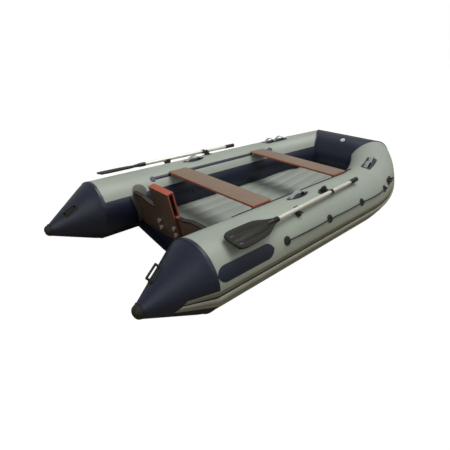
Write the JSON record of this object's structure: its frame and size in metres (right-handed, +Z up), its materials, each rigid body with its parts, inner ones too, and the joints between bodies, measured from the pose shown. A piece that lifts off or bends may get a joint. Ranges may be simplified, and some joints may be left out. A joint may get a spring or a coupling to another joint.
{
  "type": "inflatable boat",
  "caption": "Inflatable boat with tail-coned air tubes, raised blunt bow, air floor, plywood transom with sliding motor riser, sliding benches and oars on swivelling rowlocks.",
  "frame": {"origin": "middle of the bounding box's underside, on the ground under the tubes", "axes": "+X to the bow, +Y to port, +Z up"},
  "size_m": [3.2235, 1.6764, 0.55],
  "materials": {
    "grey_pvc": "coated fabric, slight sheen",
    "navy_pvc": "coated fabric, slight sheen",
    "strake_pvc": "moulded strake",
    "black_rubber": "moulded rubber",
    "black_rope": "braided",
    "plywood": "film-faced marine plywood with lacquered edges",
    "aluminium": "satin",
    "olive_plastic": "moulded",
    "pale_plastic": "moulded"
  },
  "bodies": {
    "hull": {"air_floor": "grey_pvc", "air_floor_bow": "grey_pvc", "bench_track_port": "navy_pvc", "bench_track_starboard": "navy_pvc", "bottom_skin": "navy_pvc", "bottom_skin_bow": "navy_pvc", "bow_cross_tube": "navy_pvc", "bow_grips_port": "navy_pvc", "bow_grips_starboard": "navy_pvc", "bow_loops": "black_rubber", "bow_tube_port": "grey_pvc", "bow_tube_starboard": "grey_pvc", "bow_valve": "pale_plastic", "carry_handle_port": "navy_pvc", "carry_handle_starboard": "navy_pvc", "cone_cap_port": "black_rubber", "cone_cap_starboard": "black_rubber", "drain_plug": "black_rubber", "floor_valve": "pale_plastic", "grab_line_eyelets": "black_rubber", "grab_line_port": "black_rope", "grab_line_starboard": "black_rope", "oar_clips": "black_rubber", "riser_bolts": "aluminium", "rowlock_bases": "black_rubber", "rub_strake_bow_port": "strake_pvc", "rub_strake_bow_starboard": "strake_pvc", "rub_strake_cross": "strake_pvc", "rub_strake_port": "strake_pvc", "rub_strake_starboard": "strake_pvc", "rub_strake_tails": "strake_pvc", "side_tube_port": "grey_pvc", "side_tube_starboard": "grey_pvc", "side_valves": "black_rubber", "stern_loops": "black_rubber", "stern_panel": "navy_pvc", "stern_skirt": "navy_pvc", "tail_cone_port": "navy_pvc", "tail_cone_starboard": "navy_pvc", "transom": "plywood", "transom_edging": "black_rubber", "transom_flanges": "grey_pvc", "transom_pad": "black_rubber"},
    "aft_bench": {"bench_aft": "plywood", "bench_aft_guides": "aluminium"},
    "bow_bench": {"bench_bow": "plywood", "bench_bow_guides": "aluminium"},
    "motor_riser": {"riser_aft_plate": "plywood", "riser_front_plate": "plywood", "riser_spacer": "plywood"},
    "port_oar": {"oar_shaft_port": "aluminium", "oar_grip_port": "black_rubber", "oar_blade_port": "olive_plastic", "rowlock_port": "black_rubber"},
    "starboard_oar": {"oar_shaft_starboard": "aluminium", "oar_grip_starboard": "black_rubber", "oar_blade_starboard": "olive_plastic", "rowlock_starboard": "black_rubber"}
  },
  "joints": [
    {"name": "aft_bench_slide", "type": "slide", "parent": "hull", "child": "aft_bench", "axis": [1, 0, 0], "range_m": [-0.1, 0.36]},
    {"name": "bow_bench_slide", "type": "slide", "parent": "hull", "child": "bow_bench", "axis": [1, 0, 0], "range_m": [-0.3, 0]},
    {"name": "riser_slide", "type": "slide", "parent": "hull", "child": "motor_riser", "axis": [-0.2445, 0, 0.9697], "range_m": [-0.025, 0]},
    {"name": "port_oar_swing", "type": "hinge", "parent": "hull", "child": "port_oar", "pos_m": [-0.02777, 0.64678, 0.44508], "axis": [0, -0.2079, -0.9781], "range_deg": [0, 130]},
    {"name": "starboard_oar_swing", "type": "hinge", "parent": "hull", "child": "starboard_oar", "pos_m": [-0.02777, -0.64678, 0.44508], "axis": [0, -0.2079, 0.9781], "range_deg": [0, 130]}
  ]
}
